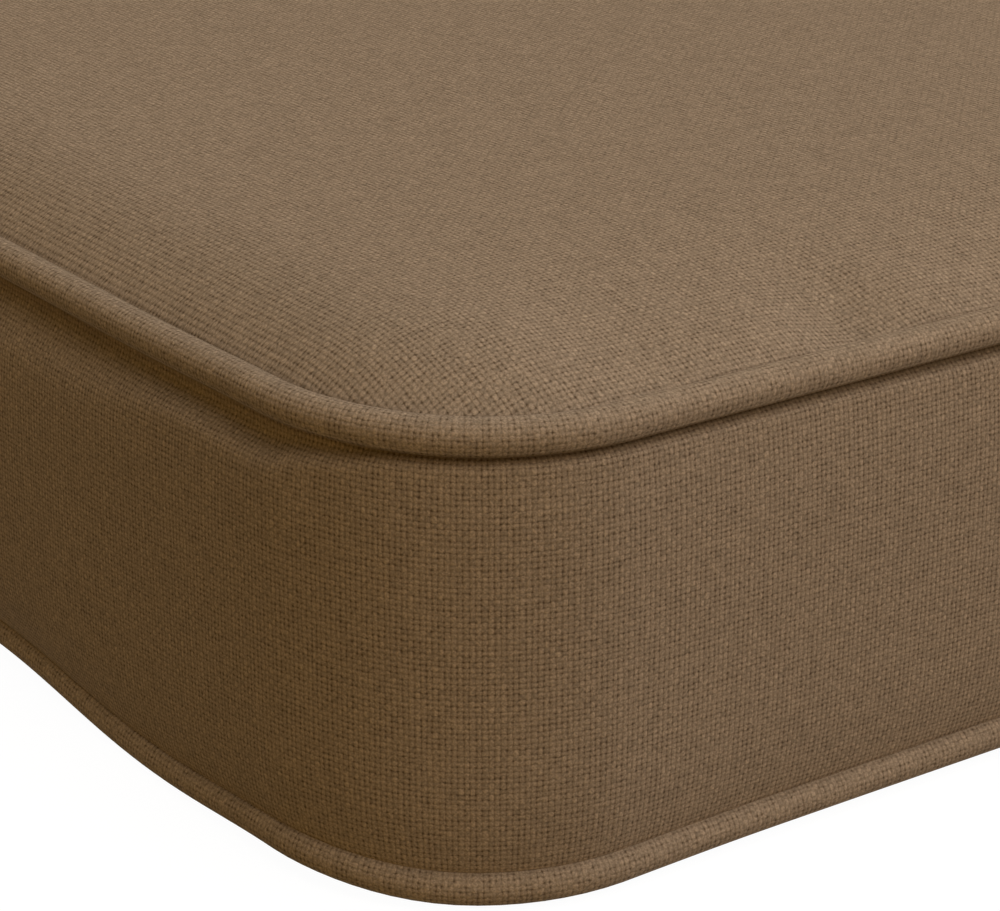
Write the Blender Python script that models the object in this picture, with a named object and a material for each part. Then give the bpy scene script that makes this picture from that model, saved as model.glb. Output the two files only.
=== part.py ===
"""Box-edge bench cushion: one filled body, and a piping cord round its top seam and its bottom seam.

Metres, +Z up. The cushion lies on its bottom panel. X runs along its length and Y along its depth. The origin
is under its middle, on the surface that it lies on, and the front is towards -Y.
"""

import math
from collections import namedtuple

import bmesh
import bpy
from mathutils import Vector

# Whole cushion, measured over the piping
LENGTH = 1.2192
DEPTH = 0.4572
BOX_HEIGHT = 0.0762
CORNER_RADIUS = 0.0403

# Piping cord, covered in cloth
PIPING_RADIUS = 0.0029
PIPING_SIDES = 12

# The body's groove follows the cord at this gap. Its flat facets bow inwards between their corners.
SEAT_GAP = 0.0003
FACET_BOW = 0.0001
GROOVE_RADIUS = PIPING_RADIUS + SEAT_GAP + FACET_BOW

# Directions round a cord's section: 0 points outwards, 90 up, 180 inwards and 270 down
TOP_GROOVE_ANGLES = (130, 153, 176, 199, 222, 245, 267, 286)
BOTTOM_GROOVE_ANGLES = (66, 86, 107, 130, 153, 176, 200, 222, 240)

# How far the boxing swells out from the line between its seams: less at the tightly drawn corners
SIDE_SWELL = 0.0013
CORNER_SWELL = 0.0011
CORNER_EASE = 0.07

# Top panel: it rolls up from its seam, then rises in a broad crown
ROLL_WIDTH = 0.034
ROLL_RISE = 0.0058
ROLL_POWER = 2.3
CROWN_RISE = 0.0062
CROWN_POWER_X = 4
CROWN_POWER_Y = 2

# A seam's unevenness fades out of the panels over this distance
SEAM_FADE = 0.022

# Half the length of the line that both panels' rings close onto
SPINE_HALF = (LENGTH - DEPTH) / 2

# Distances of the panels' rings from their seam, along the front
TOP_RINGS = (0.003, 0.007, 0.012, 0.018, 0.026, 0.038, 0.060, 0.095, 0.140, 0.180, 0.212)
BOTTOM_FLAT_START = 0.014
BOTTOM_RINGS = (0.006, BOTTOM_FLAT_START, 0.070, 0.150, 0.212)

# Steps of the outline: those along a side crowd towards its corners
CORNER_STEPS = 8
LONG_SIDE_STEPS = 18
SHORT_SIDE_STEPS = 16

# Share of the way down the boxing, and how full the swell is there
BoxingRow = namedtuple("BoxingRow", "down fullness")
BOXING_ROWS = (
    BoxingRow(0.05, 0.42),
    BoxingRow(0.14, 0.76),
    BoxingRow(0.30, 0.95),
    BoxingRow(0.50, 1.00),
    BoxingRow(0.70, 0.95),
    BoxingRow(0.86, 0.76),
    BoxingRow(0.95, 0.42),
)

# Unevenness of the hand-sewn seams. Distance runs from the middle of the front left corner: positive along
# the front, negative along the left end. The seam shifts outwards and lifts by the amounts given.
SeamRow = namedtuple("SeamRow", "distance shift lift")
TOP_SEAM_ROWS = (
    SeamRow(-1.500, -0.0002, 0.0000),
    SeamRow(-1.050, -0.0009, -0.0004),
    SeamRow(-0.620, 0.0000, 0.0000),
    SeamRow(-0.330, -0.0008, -0.0005),
    SeamRow(-0.210, 0.0000, 0.0000),
    SeamRow(-0.075, -0.0005, 0.0000),
    SeamRow(-0.024, -0.0012, 0.0003),
    SeamRow(0.012, -0.0006, 0.0000),
    SeamRow(0.180, -0.0005, 0.0000),
    SeamRow(0.420, 0.0000, -0.0004),
    SeamRow(0.760, -0.0009, 0.0000),
    SeamRow(1.100, -0.0003, -0.0004),
    SeamRow(1.400, 0.0000, 0.0000),
)
BOTTOM_SEAM_ROWS = (
    SeamRow(-1.550, -0.0008, 0.0006),
    SeamRow(-1.250, 0.0000, 0.0000),
    SeamRow(-0.950, -0.0010, 0.0010),
    SeamRow(-0.700, 0.0000, 0.0002),
    SeamRow(-0.460, -0.0008, 0.0009),
    SeamRow(-0.300, -0.0004, 0.0005),
    SeamRow(-0.190, -0.0003, 0.0006),
    SeamRow(-0.122, -0.0015, 0.0017),
    SeamRow(-0.066, 0.0000, 0.0000),
    SeamRow(-0.026, -0.0009, 0.0012),
    SeamRow(0.006, -0.0006, 0.0005),
    SeamRow(0.060, -0.0007, 0.0009),
    SeamRow(0.160, -0.0006, 0.0008),
    SeamRow(0.380, 0.0000, 0.0002),
    SeamRow(0.700, -0.0009, 0.0009),
    SeamRow(1.000, -0.0003, 0.0001),
    SeamRow(1.250, -0.0010, 0.0008),
    SeamRow(1.450, 0.0000, 0.0004),
)

# A seam is its cord's height over the surface with no unevenness, and its rows
Seam = namedtuple("Seam", "cord_height rows")
TOP_SEAM = Seam(BOX_HEIGHT - PIPING_RADIUS, TOP_SEAM_ROWS)
BOTTOM_SEAM = Seam(PIPING_RADIUS, BOTTOM_SEAM_ROWS)

# A place on the outer line, the way out from it, and its distance along the line
Station = namedtuple("Station", "point outward distance")

# Brown plain-weave cloth, linear colour
CLOTH_COLOUR = (0.235, 0.162, 0.098, 1.0)
CLOTH_ROUGHNESS = 0.9


def clear_scene():
    """Remove every object of the scene."""
    for old in list(bpy.data.objects):
        bpy.data.objects.remove(old, do_unlink=True)


def outline_stations():
    """Stations round the cushion's outer line, counter-clockwise, from the front left corner."""
    half_x = LENGTH / 2 - CORNER_RADIUS
    half_y = DEPTH / 2 - CORNER_RADIUS
    long_side = (2 * half_x, LONG_SIDE_STEPS)
    short_side = (2 * half_y, SHORT_SIDE_STEPS)
    centres = ((-half_x, -half_y), (half_x, -half_y), (half_x, half_y), (-half_x, half_y))
    arc = CORNER_RADIUS * math.pi / 2
    distance = -arc / 2
    stations = []
    for quarter, centre in enumerate(centres):
        for step in range(CORNER_STEPS + 1):
            share = step / CORNER_STEPS
            angle = math.pi + (quarter + share) * math.pi / 2
            outward = Vector((math.cos(angle), math.sin(angle), 0))
            point = Vector((*centre, 0)) + outward * CORNER_RADIUS
            stations.append(Station(point, outward, distance + arc * share))
        distance += arc
        side_length, side_steps = (long_side, short_side)[quarter % 2]
        side_start = stations[-1].point
        forward = Vector((-outward.y, outward.x, 0))
        for step in range(1, side_steps):
            walked = side_length * (1 - math.cos(math.pi * step / side_steps)) / 2
            stations.append(Station(side_start + forward * walked, outward, distance + walked))
        distance += side_length
    return stations


def outline_length():
    """Length of the outer line."""
    return 2 * (LENGTH + DEPTH) + (2 * math.pi - 8) * CORNER_RADIUS


def seam_row_at(rows, distance):
    """The seam's unevenness at a distance along it, eased from one row of the table to the next."""
    around = outline_length()
    for row, following in zip(rows, rows[1:] + rows[:1]):
        span = (following.distance - row.distance) % around
        walked = (distance - row.distance) % around
        if walked <= span:
            ease = (1 - math.cos(math.pi * walked / span)) / 2
            shift = row.shift + (following.shift - row.shift) * ease
            lift = row.lift + (following.lift - row.lift) * ease
            return SeamRow(distance, shift, lift)
    return rows[0]


def cord_section_point(station, seam, radius, degrees):
    """A point round the seam's cord: the inset from the outer line and the height."""
    row = seam_row_at(seam.rows, station.distance)
    angle = math.radians(degrees)
    inset = PIPING_RADIUS - row.shift - radius * math.cos(angle)
    return inset, seam.cord_height + row.lift + radius * math.sin(angle)


def place(station, inset, height):
    """The point at an inset from the outer line, square to it, and a height."""
    return station.point - station.outward * inset + Vector((0, 0, height))


def edge_distance(x, y):
    """Distance from a point of the plan to the outer line."""
    over_x = abs(x) - (LENGTH / 2 - CORNER_RADIUS)
    over_y = abs(y) - (DEPTH / 2 - CORNER_RADIUS)
    outside = math.hypot(max(over_x, 0), max(over_y, 0))
    return CORNER_RADIUS - outside - min(max(over_x, over_y), 0)


def side_swell(station):
    """How far the boxing swells at a station: full along the sides, eased down to the corners."""
    into_x = LENGTH / 2 - CORNER_RADIUS - abs(station.point.x)
    into_y = DEPTH / 2 - CORNER_RADIUS - abs(station.point.y)
    ease = min(max(into_x, into_y, 0) / CORNER_EASE, 1)
    return CORNER_SWELL + (SIDE_SWELL - CORNER_SWELL) * ease * ease * (3 - 2 * ease)


def groove(station, seam, degrees_list):
    """Points of the body's groove behind a seam's cord."""
    return [place(station, *cord_section_point(station, seam, GROOVE_RADIUS, degrees)) for degrees in degrees_list]


def boxing(station):
    """Points down the boxing, between its two seams."""
    top_inset, top_height = cord_section_point(station, TOP_SEAM, GROOVE_RADIUS, TOP_GROOVE_ANGLES[-1])
    low_inset, low_height = cord_section_point(station, BOTTOM_SEAM, GROOVE_RADIUS, BOTTOM_GROOVE_ANGLES[0])
    swell = side_swell(station)
    points = []
    for row in BOXING_ROWS:
        inset = top_inset + (low_inset - top_inset) * row.down - swell * row.fullness
        height = top_height + (low_height - top_height) * row.down
        points.append(place(station, inset, height))
    return points


def towards_spine(seam_point, ring):
    """The place in the plan on the way from a seam's point to the spine, for the ring at this distance."""
    spine_x = max(-SPINE_HALF, min(SPINE_HALF, seam_point.x))
    share = ring / (DEPTH / 2)
    return Vector((seam_point.x + (spine_x - seam_point.x) * share, seam_point.y * (1 - share), 0))


def top_panel_point(station, seam_point, ring):
    """A point of the top panel: over its seam by the roll and the crown."""
    point = towards_spine(seam_point, ring)
    from_seam = edge_distance(point.x, point.y) - edge_distance(seam_point.x, seam_point.y)
    roll = ROLL_RISE * (1 - (1 - min(from_seam / ROLL_WIDTH, 1)) ** ROLL_POWER)
    crown_x = 1 - abs(2 * point.x / LENGTH) ** CROWN_POWER_X
    crown_y = 1 - abs(2 * point.y / DEPTH) ** CROWN_POWER_Y
    lift = seam_row_at(TOP_SEAM.rows, station.distance).lift
    lift_lost = lift * (1 - math.exp(-from_seam / SEAM_FADE))
    point.z = seam_point.z - lift_lost + roll + CROWN_RISE * crown_x * crown_y
    return point


def bottom_panel_point(seam_point, ring):
    """A point of the bottom panel, which eases from its seam down to its flat rest face."""
    point = towards_spine(seam_point, ring)
    height_left = max(1 - ring / BOTTOM_FLAT_START, 0)
    point.z = seam_point.z * height_left * height_left
    return point


def ring_faces(mesh, upper, lower):
    """Faces between two rings of the same number of points."""
    count = len(upper)
    for index in range(count):
        following = (index + 1) % count
        mesh.faces.new((upper[index], lower[index], lower[following], upper[following]))


def index_across(index, count):
    """Index of the station straight across the cushion, in the other half of its depth."""
    return (-SHORT_SIDE_STEPS - index) % count


def close_ring(mesh, ring):
    """Close the innermost ring of a panel with faces from its front half to its back half."""
    count = len(ring)
    closed = set()
    for index in range(count):
        following = (index + 1) % count
        corners = (index, following, index_across(following, count), index_across(index, count))
        different = list(dict.fromkeys(corners))
        if len(different) > 2 and frozenset(different) not in closed:
            closed.add(frozenset(different))
            mesh.faces.new([ring[corner] for corner in different])


def make_body(stations):
    """The filled cushion: top panel, grooves for the piping, boxing and bottom panel as one closed mesh."""
    columns = []
    for station in stations:
        top_groove = groove(station, TOP_SEAM, TOP_GROOVE_ANGLES)
        bottom_groove = groove(station, BOTTOM_SEAM, BOTTOM_GROOVE_ANGLES)
        top = [top_panel_point(station, top_groove[0], ring) for ring in reversed(TOP_RINGS)]
        bottom = [bottom_panel_point(bottom_groove[-1], ring) for ring in BOTTOM_RINGS]
        columns.append(top + top_groove + boxing(station) + bottom_groove + bottom)
    mesh = bmesh.new()
    rings = [[mesh.verts.new(point) for point in ring] for ring in zip(*columns)]
    for upper, lower in zip(rings, rings[1:]):
        ring_faces(mesh, upper, lower)
    close_ring(mesh, rings[0])
    close_ring(mesh, rings[-1])
    return finish_object("cushion_body", mesh)


def make_piping(name, stations, seam):
    """A closed piping cord along a seam."""
    mesh = bmesh.new()
    rings = []
    for side in range(PIPING_SIDES):
        degrees = 360 * side / PIPING_SIDES
        places = [cord_section_point(station, seam, PIPING_RADIUS, degrees) for station in stations]
        rings.append([mesh.verts.new(place(station, *spot)) for station, spot in zip(stations, places)])
    for ring, following in zip(rings, rings[1:] + rings[:1]):
        ring_faces(mesh, ring, following)
    return finish_object(name, mesh)


def finish_object(name, mesh):
    """Turn the mesh's faces outwards, shade it smooth and put it in the scene with its own cloth."""
    bmesh.ops.recalc_face_normals(mesh, faces=mesh.faces)
    data = bpy.data.meshes.new(name)
    mesh.to_mesh(data)
    mesh.free()
    data.shade_smooth()
    data.materials.append(cloth_material(name + "_cloth"))
    piece = bpy.data.objects.new(name, data)
    bpy.context.scene.collection.objects.link(piece)
    return piece


def cloth_material(name):
    """Brown cloth with a soft, dull surface."""
    material = bpy.data.materials.new(name)
    material.use_nodes = True
    shader = material.node_tree.nodes["Principled BSDF"]
    shader.inputs["Base Color"].default_value = CLOTH_COLOUR
    shader.inputs["Roughness"].default_value = CLOTH_ROUGHNESS
    shader.inputs["Metallic"].default_value = 0.0
    return material


def main():
    """Model the cushion."""
    clear_scene()
    stations = outline_stations()
    make_body(stations)
    make_piping("piping_top", stations, TOP_SEAM)
    make_piping("piping_bottom", stations, BOTTOM_SEAM)


main()
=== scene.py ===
"""The looks of a box-edge bench cushion: its sewn cover, its two pipings, its cloth and a plain studio.

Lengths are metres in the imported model's frame: +Z up, X along the cushion, the front towards -Y. Distances
along the seams run from the middle of the front left corner: positive along the front, negative along the
left end.
"""

import logging
import math
from dataclasses import dataclass, field
from enum import Enum
from typing import ClassVar, Self

import bmesh
import bpy
import numpy as np
from bpy.types import Material, Node, NodeSocket, NodeTree, Object
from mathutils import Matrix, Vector


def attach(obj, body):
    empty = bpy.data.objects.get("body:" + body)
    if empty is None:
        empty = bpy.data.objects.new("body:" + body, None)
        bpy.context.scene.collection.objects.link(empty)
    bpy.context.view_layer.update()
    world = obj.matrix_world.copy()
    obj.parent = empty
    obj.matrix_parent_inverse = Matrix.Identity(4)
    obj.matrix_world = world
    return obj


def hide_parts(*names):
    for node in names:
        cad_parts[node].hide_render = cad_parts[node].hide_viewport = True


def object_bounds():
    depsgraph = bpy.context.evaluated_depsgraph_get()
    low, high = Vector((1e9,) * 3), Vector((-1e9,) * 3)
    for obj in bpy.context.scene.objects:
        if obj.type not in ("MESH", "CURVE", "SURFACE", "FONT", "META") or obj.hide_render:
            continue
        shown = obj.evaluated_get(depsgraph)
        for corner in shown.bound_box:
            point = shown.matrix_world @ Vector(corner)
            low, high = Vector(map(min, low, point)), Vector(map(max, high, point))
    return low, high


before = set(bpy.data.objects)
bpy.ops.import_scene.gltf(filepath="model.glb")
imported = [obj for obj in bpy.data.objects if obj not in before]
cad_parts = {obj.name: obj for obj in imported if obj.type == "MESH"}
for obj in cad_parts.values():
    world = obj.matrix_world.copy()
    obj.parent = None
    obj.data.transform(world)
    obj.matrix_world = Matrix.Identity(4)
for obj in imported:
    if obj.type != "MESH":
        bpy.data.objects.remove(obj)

LOG = logging.getLogger("bench_cushion")
CAD_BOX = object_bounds()
MM = 0.001
WHITE = (1.0, 1.0, 1.0, 1.0)
NOISE_RANGE = (0.25, 0.75)
NodeInput = NodeSocket | float | tuple[float, ...]


class Panel(Enum):
    """The pieces of cloth that the cover is cut from."""

    TOP = 0
    BOXING = 1
    BOTTOM = 2


def linear(hex_colour: str) -> tuple[float, float, float, float]:
    """Turn an sRGB hex colour into a linear one.

    Args:
        hex_colour: six hex digits, such as "84725a".

    Returns:
        Linear red, green, blue and an alpha of 1.
    """
    levels = [int(hex_colour[place:place + 2], 16) / 255 for place in (0, 2, 4)]
    red, green, blue = (v / 12.92 if v <= 0.04045 else ((v + 0.055) / 1.055) ** 2.4 for v in levels)
    return red, green, blue, 1.0


def select_only(piece: Object) -> None:
    """Deselect everything, then select one object and make it the active one."""
    bpy.ops.object.select_all(action="DESELECT")
    piece.select_set(True)
    bpy.context.view_layer.objects.active = piece


def mesh_points(piece: Object) -> np.ndarray:
    """The places of a mesh object's vertices, one row each."""
    flat = np.zeros(len(piece.data.vertices) * 3)
    piece.data.vertices.foreach_get("co", flat)
    return flat.reshape(-1, 3)


def layer_values(piece: Object, name: str, kind: type = float) -> np.ndarray:
    """The values of one of a mesh object's attributes."""
    layer = piece.data.attributes[name].data
    values = np.zeros(len(layer), dtype=kind)
    layer.foreach_get("value", values)
    return values


def corner_vertices(piece: Object) -> tuple[np.ndarray, np.ndarray]:
    """For each face corner of a mesh object: the index of its vertex, and of its face."""
    data = piece.data
    corners = np.zeros(len(data.loops), dtype=int)
    data.loops.foreach_get("vertex_index", corners)
    sizes = np.zeros(len(data.polygons), dtype=int)
    data.polygons.foreach_get("loop_total", sizes)
    return corners, np.repeat(np.arange(len(sizes)), sizes)


def unwrapped(values: np.ndarray, faces: np.ndarray, start: float, whole: float) -> np.ndarray:
    """Lay values that go round and round out from a start, with no face torn apart.

    Args:
        values: one value for each face corner.
        faces: the face of each corner.
        start: where the first turn starts.
        whole: one full turn.

    Returns:
        The values from the start on; a face across the start lies at the far end.
    """
    values = (values - start) % whole
    highest = np.zeros(faces.max() + 1)
    np.maximum.at(highest, faces, values)
    return np.where(highest[faces] - values > whole / 2, values + whole, values)


def add_cloth_map(piece: Object, places: np.ndarray) -> None:
    """Give a mesh object its only map, named cloth, in metres of cloth."""
    data = piece.data
    while data.uv_layers:
        data.uv_layers.remove(data.uv_layers[0])
    data.uv_layers.new(name="cloth")
    data.uv_layers["cloth"].data.foreach_set("uv", places.astype(np.float32).ravel())


def set_mesh_points(piece: Object, points: np.ndarray) -> None:
    """Move a mesh object's vertices to these places."""
    piece.data.vertices.foreach_set("co", np.ascontiguousarray(points, dtype=np.float32).ravel())
    piece.data.update()


@dataclass(frozen=True)
class Outline:
    """The cushion's outer line in the plan, a rectangle with round corners."""

    half_length: float
    half_depth: float
    corner_radius: float

    @property
    def core(self) -> tuple[float, float]:
        """Half the length and half the depth of the rectangle between the corners' centres."""
        return self.half_length - self.corner_radius, self.half_depth - self.corner_radius

    @property
    def centres(self) -> list[tuple[float, float]]:
        """The corners' centres, from the front left one on."""
        core_x, core_y = self.core
        return [(-core_x, -core_y), (core_x, -core_y), (core_x, core_y), (-core_x, core_y)]

    @property
    def arc(self) -> float:
        """Length of one corner's arc."""
        return self.corner_radius * math.pi / 2

    @property
    def stretches(self) -> list[float]:
        """Distance at the start of each corner and side in turn, and at the end of the last."""
        starts = [-self.arc / 2]
        for side in (*self.core, *self.core):
            starts.append(starts[-1] + self.arc)
            starts.append(starts[-1] + 2 * side)
        return starts

    @property
    def length(self) -> float:
        """Length all the way round."""
        return self.stretches[-1] - self.stretches[0]

    def station(self, distances: np.ndarray) -> tuple[np.ndarray, np.ndarray]:
        """Find points on the outer line.

        Args:
            distances: distances along the line.

        Returns:
            The points in the plan, and the directions that point out from them.
        """
        starts = self.stretches
        walked = (distances - starts[0]) % self.length + starts[0]
        points = np.zeros((len(walked), 2))
        outwards = np.zeros((len(walked), 2))
        for quarter, centre in enumerate(self.centres):
            arc_start, side_start, side_end = starts[2 * quarter:2 * quarter + 3]
            turned = np.clip((walked - arc_start) / (side_start - arc_start), 0, 1)
            angle = math.pi + (quarter + turned) * math.pi / 2
            outward = np.stack([np.cos(angle), np.sin(angle)], axis=-1)
            forward = np.stack([-outward[:, 1], outward[:, 0]], axis=-1)
            along_side = np.clip(walked - side_start, 0, None)[:, None]
            here = (walked >= arc_start) & (walked <= side_end)
            points[here] = (np.array(centre) + outward * self.corner_radius + forward * along_side)[here]
            outwards[here] = outward[here]
        return points, outwards

    def distance_along(self, plan: np.ndarray) -> np.ndarray:
        """Distance along the outer line of the station nearest to each point of the plan.

        Args:
            plan: points in the plan, one row each.

        Returns:
            Distances along the line.
        """
        distances = np.zeros(len(plan))
        beyond_core = (np.abs(plan) >= self.core).all(axis=1)
        side_x = self.half_length - np.abs(plan[:, 0])
        side_y = self.half_depth - np.abs(plan[:, 1])
        for quarter, centre in enumerate(self.centres):
            start = self.stretches[2 * quarter]
            from_centre = plan - np.array(centre)
            angle = np.arctan2(from_centre[:, 1], from_centre[:, 0]) - math.pi - quarter * math.pi / 2
            angle = (angle + math.pi) % (2 * math.pi) - math.pi
            in_corner = beyond_core & (np.sign(plan) == np.sign(centre)).all(axis=1)
            distances[in_corner] = (start + angle * self.corner_radius)[in_corner]
            direction = math.pi + (quarter + 1) * math.pi / 2
            outward = np.array([math.cos(direction), math.sin(direction)])
            forward = np.array([-outward[1], outward[0]])
            nearest = (side_y < side_x) if quarter % 2 == 0 else (side_y >= side_x)
            on_side = nearest & (plan @ outward > 0) & ~beyond_core
            distances[on_side] = (start + self.arc + from_centre @ forward)[on_side]
        return distances

    def edge_distance(self, plan: np.ndarray) -> np.ndarray:
        """Distance from points of the plan in to the outer line."""
        over = np.abs(plan) - np.array(self.core)
        outside = np.linalg.norm(np.clip(over, 0, None), axis=1)
        return self.corner_radius - outside - np.clip(over.max(axis=1), None, 0)


@dataclass(frozen=True)
class Row:
    """One row of a table of values along the outline, with the unit of each column."""

    units: ClassVar[tuple[float, ...]] = (1,)
    distance: float

    @classmethod
    def table(cls, *rows: tuple[float, ...]) -> tuple[Self, ...]:
        """Rows from plain numbers, in rising order of distance within one turn."""
        return tuple(cls(*(value * unit for value, unit in zip(row, cls.units))) for row in rows)


def eased(rows: tuple[Row, ...], column: str, distances: np.ndarray, whole: float) -> np.ndarray:
    """Ease one column of a table round a closed line.

    Args:
        rows: the table.
        column: the name of the column's field.
        distances: where the values are wanted.
        whole: one full turn.

    Returns:
        One value for each distance.
    """
    places = np.array([row.distance for row in rows])
    values = np.array([getattr(row, column) for row in rows])
    walked = (distances - places[0]) % whole + places[0]
    edges = np.append(places, places[0] + whole)
    levels = np.append(values, values[0])
    last = np.clip(np.searchsorted(edges, walked, side="right") - 1, 0, len(places) - 1)
    share = (walked - edges[last]) / (edges[last + 1] - edges[last])
    return levels[last] + (levels[last + 1] - levels[last]) * (1 - np.cos(np.pi * share)) / 2


@dataclass(frozen=True)
class SeamRow(Row):
    """How a seam wanders at one place: out from its plain line, and up."""

    units = (1, MM, MM)
    shift: float
    lift: float


@dataclass(frozen=True)
class Seam:
    """A seam with its piping cord: the height of the cord's middle, and how the seam wanders."""

    outline: Outline
    level: float
    rows: tuple[SeamRow, ...]

    def shift(self, distances: np.ndarray) -> np.ndarray:
        """How far the seam lies outside its plain line."""
        return eased(self.rows, "shift", distances, self.outline.length)

    def height(self, distances: np.ndarray) -> np.ndarray:
        """Height of the cord's middle."""
        return self.level + eased(self.rows, "lift", distances, self.outline.length)


TOP_SEAM_ROWS = SeamRow.table(
    # distance in metres, then shift and lift in millimetres
    (-1.500, -0.2, 0.0),
    (-1.050, -0.9, -0.4),
    (-0.620, 0.0, 0.0),
    (-0.330, -0.8, -0.5),
    (-0.210, 0.0, 0.0),
    (-0.075, -0.5, 0.0),
    (-0.024, -1.2, 0.3),
    (0.012, -0.6, 0.0),
    (0.180, -0.5, 0.0),
    (0.420, 0.0, -0.4),
    (0.760, -0.9, 0.0),
    (1.100, -0.3, -0.4),
    (1.400, 0.0, 0.0),
)
BOTTOM_SEAM_ROWS = SeamRow.table(
    # distance in metres, then shift and lift in millimetres
    (-1.550, -0.8, 0.6),
    (-1.250, 0.0, 0.0),
    (-0.950, -1.0, 1.0),
    (-0.700, 0.0, 0.2),
    (-0.460, -0.8, 0.9),
    (-0.300, -0.4, 0.5),
    (-0.190, -0.3, 0.6),
    (-0.122, -1.5, 1.7),
    (-0.066, 0.0, 0.0),
    (-0.026, -0.9, 1.2),
    (0.006, -0.6, 0.15),
    (0.060, -0.7, 0.9),
    (0.160, -0.6, 0.8),
    (0.380, 0.0, 0.2),
    (0.700, -0.9, 0.9),
    (1.000, -0.3, 0.1),
    (1.250, -1.0, 0.8),
    (1.450, 0.0, 0.4),
)


@dataclass(frozen=True)
class TuckRow(Row):
    """How the boxing is drawn in at one place along the outline.

    It leaves the top cord and meets the bottom cord at these directions round them. Under the top cord it
    hangs straight down as far as the hang, comes out in a fold that ends at the fold's depth, and then swells
    past the outer line.
    """

    units = (1, 1, MM, MM, 1, MM)
    top_angle: float
    hang: float
    fold: float
    bottom_angle: float
    swell: float


TUCK_ROWS = TuckRow.table(
    # distance in metres, top angle in degrees, hang and fold in millimetres, bottom angle, swell
    (-1.610, 278, 1.0, 4.0, 66, -0.6),
    (-1.450, 274, 0.0, 2.0, 70, 0.4),
    (-0.620, 274, 0.0, 2.0, 70, 0.4),
    (-0.440, 278, 1.0, 4.0, 66, -0.6),
    (-0.300, 266, 1.5, 8.0, 54, 1.0),
    (-0.087, 266, 1.6, 10.0, 52, 1.0),
    (-0.050, 264, 2.6, 5.0, 56, 0.4),
    (-0.033, 265, 4.0, 6.6, 60, -0.4),
    (-0.018, 266, 1.6, 3.4, 62, -1.1),
    (-0.006, 266, 0.0, 1.1, 64, -0.7),
    (0.012, 268, 0.0, 0.9, 66, -0.5),
    (0.050, 272, 0.0, 1.5, 68, -0.4),
    (0.140, 274, 0.0, 2.0, 70, 0.0),
    (1.060, 274, 0.0, 2.0, 70, 0.2),
    (1.200, 278, 1.0, 4.0, 66, -0.6),
    (1.320, 268, 1.5, 7.5, 56, 1.0),
    (1.520, 268, 1.5, 7.5, 56, 1.0),
)


@dataclass(frozen=True)
class RollRow(Row):
    """How wide the top panel's roll down to its seam is at one place."""

    units = (1, MM)
    width: float


ROLL_ROWS = RollRow.table(
    # distance in metres, then width in millimetres
    (-1.580, 45),
    (-0.500, 45),
    (-0.440, 30),
    (-0.380, 23),
    (-0.020, 23),
    (0.010, 28),
    (0.045, 45),
    (1.160, 45),
    (1.200, 30),
    (1.260, 23),
    (1.600, 23),
    (1.640, 30),
)


@dataclass(frozen=True)
class Dent:
    """A soft hollow or hump of the top panel, by its place from the front left corner."""

    from_left: float
    from_front: float
    radius_x: float
    radius_y: float
    height: float


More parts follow.
